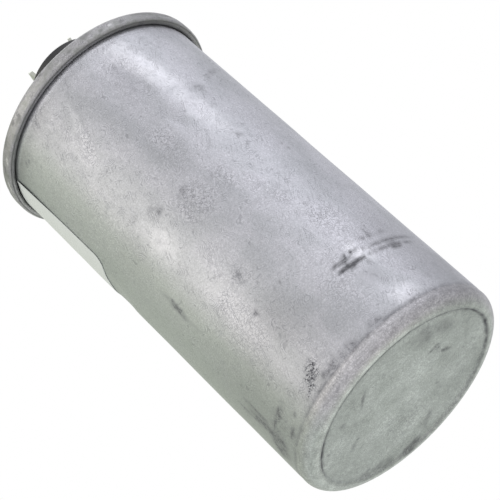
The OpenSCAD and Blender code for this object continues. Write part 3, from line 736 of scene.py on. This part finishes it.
FINISHES = {
    "can": finish("bare drawn aluminium", bare_can),
    "cover": finish("rolled seam aluminium", seam_metal),
    "seam_compound": simple("sealing compound", (66, 68, 66), mottle=0.25, size=2.0, rough=0.7),
    "label": simple("bare label film", (209, 213, 211), mottle=0.08, size=6.0, rough=0.42, spread=0.12),
    "terminal_insulator": simple("black moulding", (38, 38, 41), mottle=0.3, size=1.2, spread=0.2,
                                 relief=0.02),
    "inner_insulator": simple("ivory moulding", (224, 218, 196), mottle=0.08, size=3.0),
    "gasket": simple("soft rubber", (44, 44, 44), mottle=0.2, size=1.0, rough=0.8),
    "terminal": simple("tinned brass tab", (188, 190, 182), mottle=0.16, size=1.2, rough=0.34,
                       spread=0.16, metal=1.0, relief=0.008, stretch=(1, 1, 5)),
    "rivet": simple("tinned rivet", (180, 181, 178), mottle=0.16, size=0.9, rough=0.36, spread=0.16,
                    metal=1.0),
    "washer": simple("plated washer", (176, 176, 176), mottle=0.12, size=1.0, rough=0.36, metal=1.0,
                     relief=0.008, stretch=(6, 1, 1)),
    "lug": simple("bare brass lug", (200, 172, 98), mottle=0.16, size=1.4, rough=0.38, spread=0.14,
                  metal=1.0),
    "lead": simple("tinned strip", (196, 184, 160), mottle=0.14, size=1.2, rough=0.4, spread=0.14,
                   metal=1.0, relief=0.008, stretch=(1, 1, 6)),
    "sleeve": simple("pressboard sleeve", (198, 172, 118), mottle=0.16, size=0.9, rough=0.85,
                     relief=0.03),
    "moulding": simple("natural moulding", (224, 223, 216), mottle=0.07, size=2.4),
    "zinc": simple("sprayed zinc", (142, 145, 148), mottle=0.35, size=0.5, rough=0.75, spread=0.15,
                   metal=0.7, relief=0.08),
    "film": simple("metallised film", (186, 191, 200), mottle=0.08, size=0.3, rough=0.3, spread=0.08,
                   metal=0.8, relief=0.004, stretch=(30, 30, 1)),
    "wrap": simple("clear wrap", (214, 202, 166), mottle=0.08, size=0.6, rough=0.25, spread=0.08,
                   relief=0.006, stretch=(20, 20, 1)),
    "core": simple("extruded core", (226, 226, 220), mottle=0.06, size=1.2, spread=0.08, relief=0.008,
                   stretch=(1, 1, 12)),
}

for piece in nodes.values():
    for place in piece.material_slots:
        slot = place.material.name.split(".")[0]
        place.material = FINISHES.get(slot, place.material)


# ---------------------------------------------------------------- the can

can_line = ([(0, base_recess + can_t / 2, 0, 1)]
            + step_down(can_r - corner_r - ring_w, base_recess + can_t / 2, base_recess, step_bend)
            + bend((can_r - corner_r, corner_r), corner_r - can_t / 2, 270, 360, 14)
            + [(wall_mid, seam_bottom, -1, 0), (pressed_mid, seam_bottom + ridge_run, -1, 0)]
            + bend((pressed_mid + hook_bend, body_hook_z), hook_bend, 180, 0)
            + [(body_hook_mid, body_hook_end, 1, 0)])


def can_outside_rows(radius, height):
    """Close rows where the can is bent or scuffed, and wider ones on the plain wall."""
    if height < 1.0:
        return 0.2 if 21.2 < radius < 22.8 else 0.6
    if height < 5.0:
        return 0.2
    return 0.4 if height < 24 else 0.8


def can_inside_rows(radius, height):
    """Wide rows, since the inside is never seen."""
    return 5.0


can = turned("can_shell", sheet(can_line, can_t, can_outside_rows, can_inside_rows), FINISHES["can"])
shape_can(can.data)
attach(can, "root")
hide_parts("can")


# ---------------------------------------------------------------- the cover

cover_line = ([(0, panel_mid, 0, 1)]
              + step_down(groove_r - groove_flat, panel_mid, groove_depth, groove_bend)
              + bend((groove_r, panel_mid - groove_depth + groove_bend), groove_bend, 270, 360)
              + bend((chuck_mid + seam_top_r, seam_top_z), seam_top_r, 180, 90)
              + bend((seam_wall_mid - seam_top_r, seam_top_z), seam_top_r, 90, 0)
              + bend((cover_hook_mid + hook_bend, cover_hook_z), hook_bend, 0, -180, 16)
              + [(cover_hook_mid, cover_hook_end, -1, 0)])


def cover_lower_rows(radius, height):
    """Wide rows on the face towards the can."""
    return 3.0


def cover_upper_rows(radius, height):
    """Close rows on the seam's outside, which shows nicks."""
    return 0.3 if radius > 25.2 else 1.2


def drilled(piece, holes, steps=64):
    """The piece with upright round holes of (x, y, radius) cut through it."""
    verts, faces = [], []
    for x, y, hole in holes:
        low = len(verts)
        high = low + steps
        ring = [(x + hole * math.cos(math.tau * i / steps), y + hole * math.sin(math.tau * i / steps))
                for i in range(steps)]
        verts += [(a * MM, b * MM, height * MM) for height in (90, 100) for a, b in ring]
        faces += [(low + i, low + (i + 1) % steps, high + (i + 1) % steps, high + i) for i in range(steps)]
        faces += [tuple(range(high - 1, low - 1, -1)), tuple(range(high, high + steps))]
    cutter_mesh = bpy.data.meshes.new("cutter")
    cutter_mesh.from_pydata(verts, [], faces)
    cutter = made("cutter", cutter_mesh)
    modifier = piece.modifiers.new("Holes", "BOOLEAN")
    modifier.operation, modifier.solver, modifier.object = "DIFFERENCE", "EXACT", cutter
    piece.data = evaluated_mesh(piece)
    piece.modifiers.clear()
    bpy.data.objects.remove(cutter)


cover_sheet = sheet(cover_line, cover_t, cover_lower_rows, cover_upper_rows)
cover = turned("cover_shell", cover_sheet, FINISHES["cover"])
drilled(cover, [(0, terminal_y, cover_hole_r), (0, -terminal_y, cover_hole_r)])
shape_seam(cover.data)
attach(cover, "root")
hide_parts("cover")


# ---------------------------------------------------------------- the label

def label_sheet():
    """A thin film on the can, with rounded lower corners and its ends slightly lifted."""
    thick, clear, corner = 0.1, 0.03, 3.2
    columns, rows = 150, 48
    lean = math.tan(math.radians(label_lean))
    across, up = np.meshgrid(np.linspace(0, 1, columns + 1), np.linspace(0, 1, rows + 1), indexing="ij")
    z = label_low + (label_high - label_low) * up
    low_gap = np.clip(corner - (z - label_low), 0, corner)
    inset = corner - np.sqrt(corner ** 2 - low_gap ** 2)
    left = math.radians(label_left) * can_r + inset - (label_high - z) * lean
    right = math.radians(label_right) * can_r - inset + (label_high - z) * lean
    place = left + (right - left) * across
    bearing = place / can_r
    end = np.minimum(place - left, right - place)

    def round_at(radius):
        return np.stack([radius * np.sin(bearing), -radius * np.cos(bearing), z], axis=-1).reshape(-1, 3)

    skin = round_at(can_r)
    depth = wall_depth(np.degrees(bearing).ravel(), z.ravel(), skin).reshape(z.shape)
    bubble = 0.03 * (1 + ripple(skin, 5.0, 4.0).reshape(z.shape))
    lifted = 0.01 + 0.22 * ramp(z, 80, 93)
    under = can_r - depth + clear + bubble + lifted * np.exp(-end / 0.8)
    places = np.concatenate([round_at(under), round_at(under + thick)])

    def at(layer, i, j):
        return (layer * (columns + 1) + i) * (rows + 1) + j

    faces = []
    for i in range(columns):
        for j in range(rows):
            faces.append((at(1, i, j), at(1, i + 1, j), at(1, i + 1, j + 1), at(1, i, j + 1)))
            faces.append((at(0, i, j), at(0, i, j + 1), at(0, i + 1, j + 1), at(0, i + 1, j)))
    edge = ([(i, 0) for i in range(columns)] + [(columns, j) for j in range(rows)]
            + [(i, rows) for i in range(columns, 0, -1)] + [(0, j) for j in range(rows, 0, -1)])
    for (i, j), (k, m) in zip(edge, edge[1:] + edge[:1]):
        faces.append((at(0, i, j), at(0, k, m), at(1, k, m), at(1, i, j)))
    mesh = bpy.data.meshes.new("label_film")
    mesh.from_pydata((places * MM).tolist(), [], faces)
    mesh.update()
    outward(mesh)
    mesh.shade_smooth()
    return mesh


label = made("label_film", label_sheet(), FINISHES["label"])
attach(label, "root")
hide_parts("label")


# ---------------------------------------------------------------- studio

def lamp(name, bearing, height, distance, size, power, colour):
    """A soft square lamp that faces the part, placed by bearing, height angle and distance."""
    data = bpy.data.lights.new(name, "AREA")
    data.shape, data.size, data.energy, data.color = "SQUARE", size, power, colour
    piece = made(name, data)
    b, h = math.radians(bearing), math.radians(height)
    away = Vector((math.sin(b) * math.cos(h), -math.cos(b) * math.cos(h), math.sin(h)))
    piece.location = Vector((0, 0, 0.05)) + away * distance
    piece.rotation_mode = "QUATERNION"
    piece.rotation_quaternion = away.to_track_quat("Z", "Y")


lamp("left softbox", -52, 32, 0.9, 0.6, 1.0, (1.0, 0.98, 0.93))
lamp("right softbox", 60, 32, 0.9, 0.7, 1.3, (0.95, 0.95, 1.0))
lamp("top softbox", 150, 68, 1.0, 0.8, 1.6, (1.0, 1.0, 1.0))

world = bpy.data.worlds.new("Pale studio")
bpy.context.scene.world = world
w = emptied(world)
to_camera = w.node("ShaderNodeLightPath", out="Is Camera Ray")
toward = w.node("ShaderNodeTexCoord", out="Generated")

# What the metal mirrors: a direction of the room, the two cosines to it between which the tone comes
# in, and the tone.
ROOM_TONES = [((-0.55, 0.68, 0.50), 0.45, 1.0, (0.66, 0.69, 0.60)),
              ((-0.78, -0.37, 0.50), 0.7, 1.0, (1.05, 1.03, 0.93)),
              ((0.80, 0.25, 0.54), 0.3, 1.0, (0.86, 0.87, 0.90)),
              ((0.0, 0.6, -0.80), 0.3, 0.9, (0.96, 1.0, 0.95)),
              ((0.10, -0.40, -0.91), 0.75, 1.0, (0.74, 0.72, 0.73)),
              ((0.13, 0.40, -0.90), 0.9, 1.0, (1.15, 1.1, 1.0))]
room = (0.95, 0.95, 0.95, 1.0)
for direction, start, end, tone in ROOM_TONES:
    cosine = w.vector("DOT_PRODUCT", toward, direction, out="Value")
    room = w.mix(w.fade(cosine, start, end), room, (*tone, 1.0))
level = w.mix(to_camera, room, (1.0, 1.0, 1.0, 1.0))
w.end("ShaderNodeOutputWorld", w.node("ShaderNodeBackground", None, {"Color": level, "Strength": 1.0}))


def floor_finish():
    """Pale floor that is seen from above only, keeps the shadow, and fades out at its rim."""
    material = bpy.data.materials.new("pale floor")
    t = emptied(material)
    place = t.node("ShaderNodeTexCoord", out="Object")
    seen = t.node("ShaderNodeLightPath", out="Is Camera Ray")
    back = t.node("ShaderNodeNewGeometry", out="Backfacing")
    rim = t.fade(t.vector("LENGTH", place, out="Value"), 0.16, 0.55)
    show = seen * (1 - back) * (1 - rim)
    pale = t.scaled(paint(240, 240, 240), 0.97 + 0.06 * t.grain(place, 0.03, 2.0))
    solid = t.node("ShaderNodeBsdfDiffuse", None, {"Color": pale})
    clear = t.node("ShaderNodeBsdfTransparent")
    t.end("ShaderNodeOutputMaterial", t.node("ShaderNodeMixShader", None, {0: show, 1: clear, 2: solid}))
    return material


def floor_mesh(steps=96, radius=0.6):
    """A round sheet on the ground."""
    mesh = bpy.data.meshes.new("floor")
    angles = [math.tau * i / steps for i in range(steps)]
    verts = [(0, 0, 0)] + [(radius * math.cos(a), radius * math.sin(a), 0) for a in angles]
    mesh.from_pydata(verts, [], [(0, i + 1, (i + 1) % steps + 1) for i in range(steps)])
    return mesh


floor = made("floor", floor_mesh(), floor_finish())
floor.location.z = -0.0001

camera_data = bpy.data.cameras.new("camera")
camera = made("camera", camera_data)
bpy.context.scene.camera = camera
camera_data.sensor_width = 36.0
camera_data.lens = 128.3
camera_data.shift_x, camera_data.shift_y = 0.0021, 0.0030
camera_data.clip_start, camera_data.clip_end = 0.01, 20
camera_place = Vector((-0.04777, -0.31984, -0.13585))
turn, rise, roll = math.radians(81.5), math.radians(29.66), math.radians(47.05)
forward = Vector((math.cos(rise) * math.cos(turn), math.cos(rise) * math.sin(turn), math.sin(rise)))
level_right = forward.cross(Vector((0, 0, 1))).normalized()
level_up = level_right.cross(forward)
right = level_right * math.cos(roll) - level_up * math.sin(roll)
up = level_right * math.sin(roll) + level_up * math.cos(roll)
axes = Matrix((right, up, -forward)).transposed()
camera.matrix_world = Matrix.Translation(camera_place) @ axes.to_4x4()

bpy.context.scene.view_settings.view_transform = "Standard"
